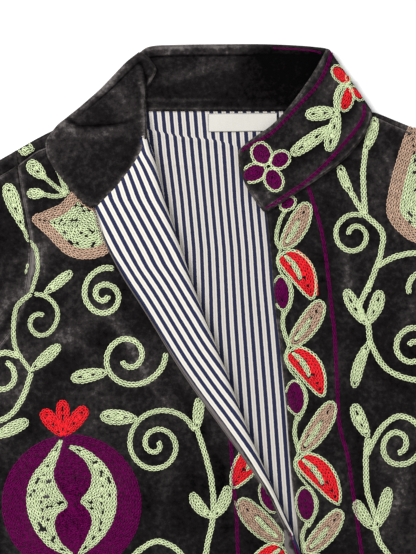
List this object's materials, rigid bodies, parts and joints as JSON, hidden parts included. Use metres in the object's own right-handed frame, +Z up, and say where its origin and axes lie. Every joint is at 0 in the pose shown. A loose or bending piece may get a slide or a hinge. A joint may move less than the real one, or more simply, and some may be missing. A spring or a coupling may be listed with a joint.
{
  "type": "embroidered velvet jacket, laid flat",
  "caption": "Open-front velvet jacket with a stand collar and striped lining, lying flat on its back with the right front turned back like a lapel.",
  "frame": {"origin": "middle of the jacket's outline, on the surface that it lies on", "axes": "+Z up from the surface, +X towards the wearer's left sleeve, +Y towards the collar"},
  "size_m": [1.122, 0.668, 0.0199],
  "materials": {
    "black_velvet": "cotton velvet with a short nap",
    "striped_ticking": "plain cotton ticking, navy stripes on cream",
    "white_tape": "smooth woven tape, bare"
  },
  "bodies": {
    "root": {"back": "black_velvet", "back_lining": "striped_ticking", "label": "white_tape", "front_left": "black_velvet", "front_right": "black_velvet", "lapel_lining": "striped_ticking", "sleeve_under_right": "black_velvet", "sleeve_upper_right": "black_velvet", "sleeve_under_left": "black_velvet", "sleeve_upper_left": "black_velvet", "collar_stand": "black_velvet", "collar_turned_end": "black_velvet"}
  },
  "joints": []
}
